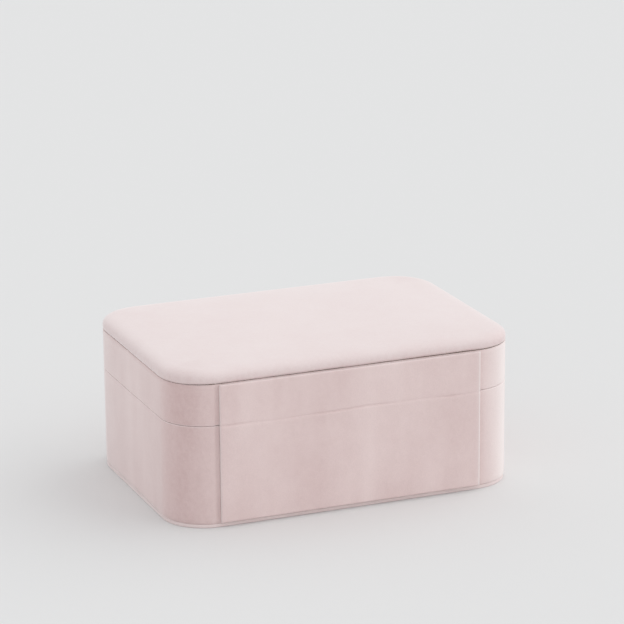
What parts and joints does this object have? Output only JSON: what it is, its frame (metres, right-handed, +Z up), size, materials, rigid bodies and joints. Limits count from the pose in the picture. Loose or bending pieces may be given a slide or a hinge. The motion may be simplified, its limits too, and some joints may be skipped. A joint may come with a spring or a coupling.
{
  "type": "jewelry box",
  "caption": "Velvet-covered jewelry box with a padded hinged lid, a magnetic front flap, a mirror and a lift-out tray with ring rolls.",
  "frame": {"origin": "centre of the underside, on the surface the box stands on", "axes": "+X to the right along the long front, +Y to the back, +Z up; the flap is on the -Y side"},
  "size_m": [0.26, 0.1848, 0.1145],
  "materials": {
    "velvet": "blush velvet, short nap",
    "lining": "blush suede cloth",
    "ring_velvet": "blush velvet, short nap",
    "ribbon": "satin ribbon",
    "wall_board": "fibreboard",
    "board": "grey board",
    "foam": "soft foam",
    "steel": "brushed",
    "magnet": "plated",
    "mirror_glass": "silvered glass"
  },
  "bodies": {
    "base": {"base_plate": "velvet", "base_wall": "wall_board", "base_cover": "velvet", "base_lining": "lining", "base_floor_pad": "lining", "lower_divider_cross": "lining", "lower_divider_long": "lining", "tray_ledge_left": "lining", "tray_ledge_right": "lining", "keeper_plate_left": "steel", "keeper_plate_right": "steel", "hinge_base_leaf_left": "steel", "hinge_base_leaf_right": "steel", "hinge_pin_left": "steel", "hinge_pin_right": "steel", "base_leaf_screws": "steel"},
    "tray": {"tray_shell": "wall_board", "tray_lining": "lining", "tray_divider_left": "lining", "tray_divider_right": "lining", "tray_divider_rings": "lining", "tray_divider_left_cross": "lining", "tray_divider_right_front": "lining", "tray_divider_right_back": "lining", "tray_pull_left": "ribbon", "tray_pull_right": "ribbon", "ring_roll_1": "ring_velvet", "ring_roll_2": "ring_velvet", "ring_roll_3": "ring_velvet", "ring_roll_4": "ring_velvet", "ring_roll_5": "ring_velvet", "ring_roll_6": "ring_velvet", "ring_roll_7": "ring_velvet"},
    "lid": {"lid_wall": "wall_board", "lid_cover": "velvet", "lid_board": "wall_board", "lid_lining": "lining", "mirror": "mirror_glass", "mirror_surround": "lining", "pad_board": "board", "pad_foam": "foam", "pad_cover": "velvet", "hinge_lid_leaf_left": "steel", "hinge_lid_leaf_right": "steel", "lid_leaf_screws": "steel", "flap_top_board": "board", "flap_top_cover": "velvet"},
    "flap": {"flap_board": "board", "flap_cover": "velvet", "flap_magnet_left": "magnet", "flap_magnet_right": "magnet"}
  },
  "joints": [
    {"name": "lid_hinge", "type": "hinge", "parent": "base", "child": "lid", "pos_m": [0, 0.09, 0.074], "axis": [-1, 0, 0], "range_deg": [0, 100]},
    {"name": "flap_crease", "type": "hinge", "parent": "lid", "child": "flap", "pos_m": [0, -0.091, 0.074], "axis": [-1, 0, 0], "range_deg": [0, 110]},
    {"name": "tray_lift", "type": "slide", "parent": "base", "child": "tray", "axis": [0, 0, 1], "range_m": [0, 0.02]}
  ]
}
